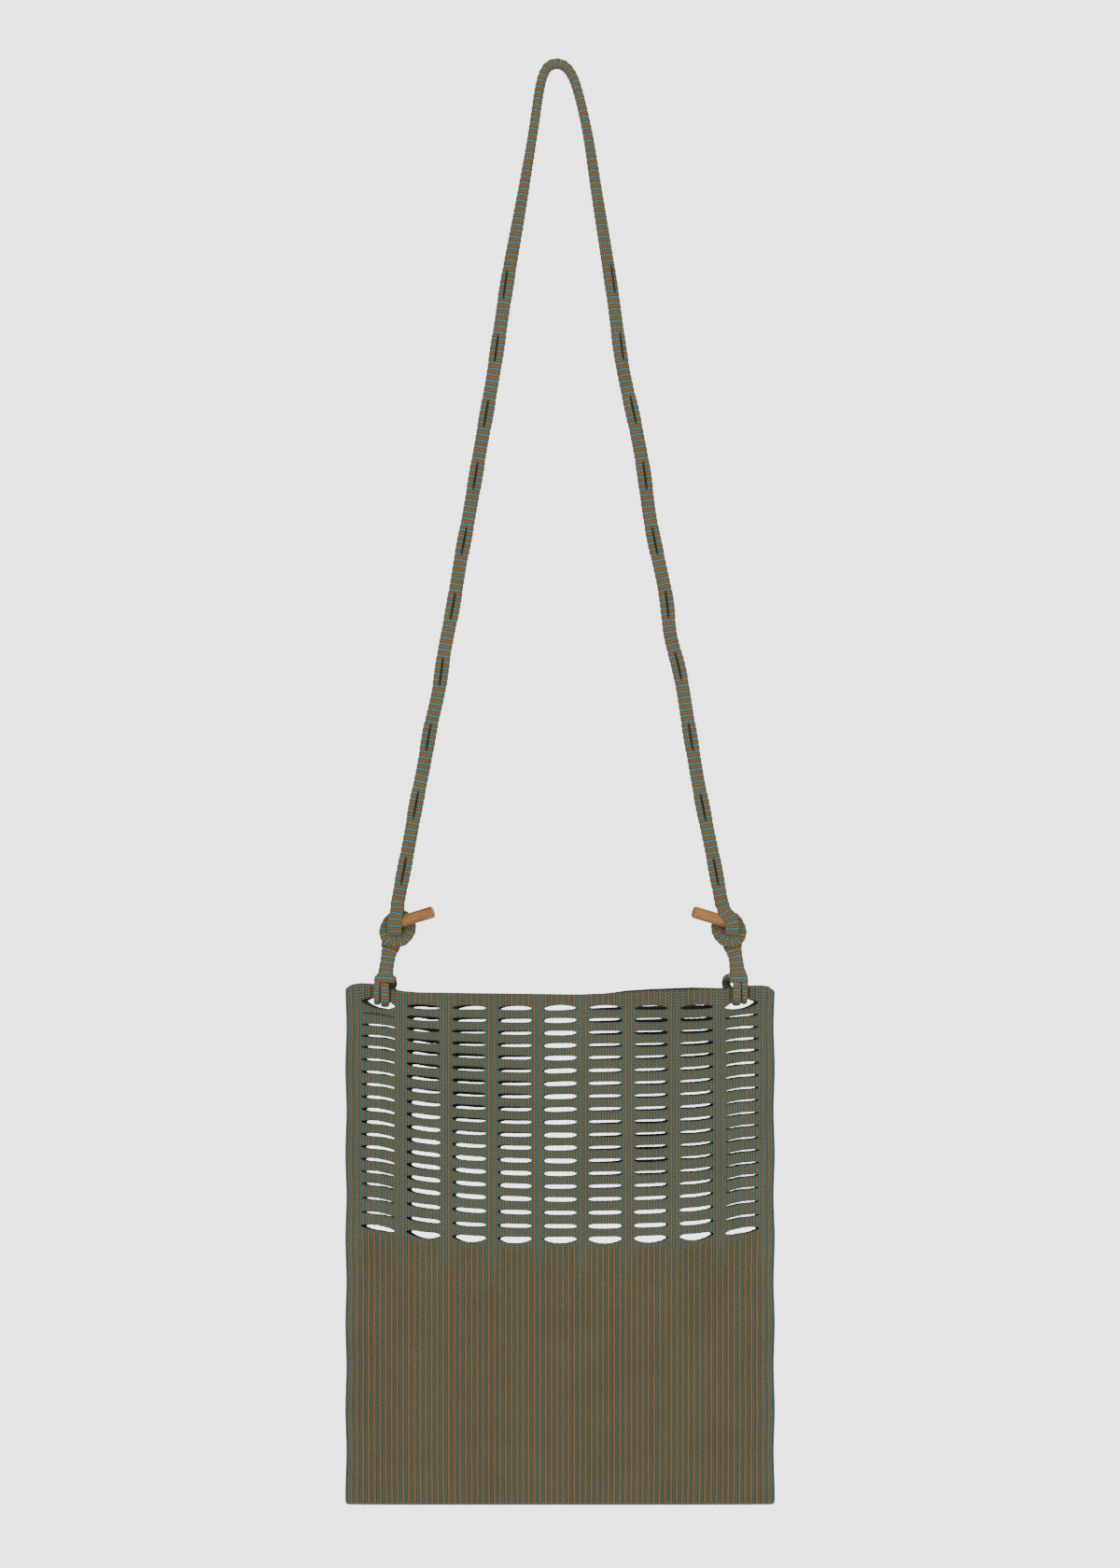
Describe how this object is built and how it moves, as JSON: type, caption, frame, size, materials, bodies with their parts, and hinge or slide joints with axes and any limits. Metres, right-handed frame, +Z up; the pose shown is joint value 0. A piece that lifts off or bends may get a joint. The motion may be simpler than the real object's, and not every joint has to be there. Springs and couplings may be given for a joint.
{
  "type": "open-weave shoulder bag",
  "caption": "Flat ribbed knitted pouch with slit openwork, hung by a narrow knitted strap held at both ends by short hitched leaders and wooden pegs.",
  "frame": {"origin": "under the strap's bend, where it lies over whatever the bag hangs on", "axes": "+X to the viewer's right when the front is seen, +Y away from the viewer, +Z up"},
  "size_m": [0.284, 0.0216, 0.9595],
  "materials": {
    "ribbed_knit": "ribbed knit, brown ribs over teal grooves",
    "strap_knit": "tubular knit, brown and teal bands",
    "peg_wood": "turned and waxed"
  },
  "bodies": {
    "root": {"pouch": "ribbed_knit", "shoulder_strap": "strap_knit", "leader_left": "strap_knit", "leader_right": "strap_knit", "toggle_left": "peg_wood", "toggle_right": "peg_wood"}
  },
  "joints": []
}
